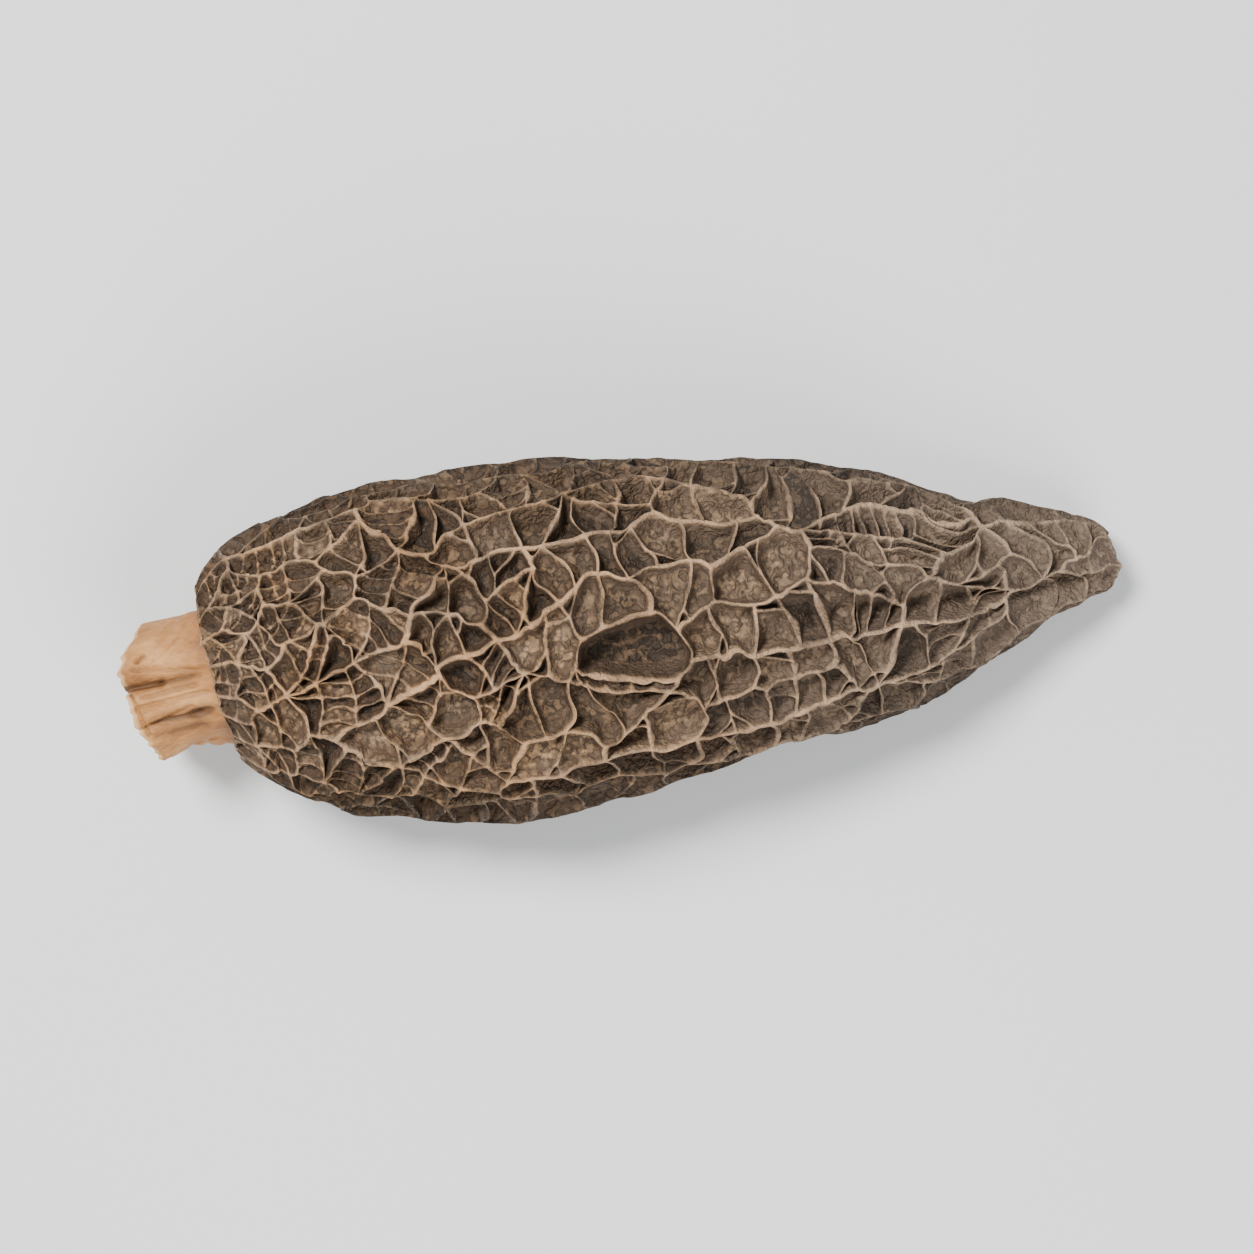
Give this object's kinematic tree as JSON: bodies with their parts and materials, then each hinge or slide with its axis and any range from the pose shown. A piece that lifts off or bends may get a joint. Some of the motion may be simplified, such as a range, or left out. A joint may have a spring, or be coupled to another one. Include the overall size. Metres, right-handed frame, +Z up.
{
  "type": "morel mushroom",
  "caption": "Dried morel lying on its side: a hollow, honeycombed conical cap with a short cut stub of hollow stem.",
  "frame": {"origin": "on the surface that the mushroom lies on, under the middle of its bounding box", "axes": "+X along the mushroom from the cut stem to the tip of the cap, +Z up"},
  "size_m": [0.07, 0.0248, 0.0196],
  "materials": {
    "cap_flesh": "dry, matt, dark brown pits with paler tan ribs",
    "stem_flesh": "dry, papery, pale tan with lengthwise wrinkles"
  },
  "bodies": {
    "root": {"cap": "cap_flesh", "stem": "stem_flesh"}
  },
  "joints": []
}
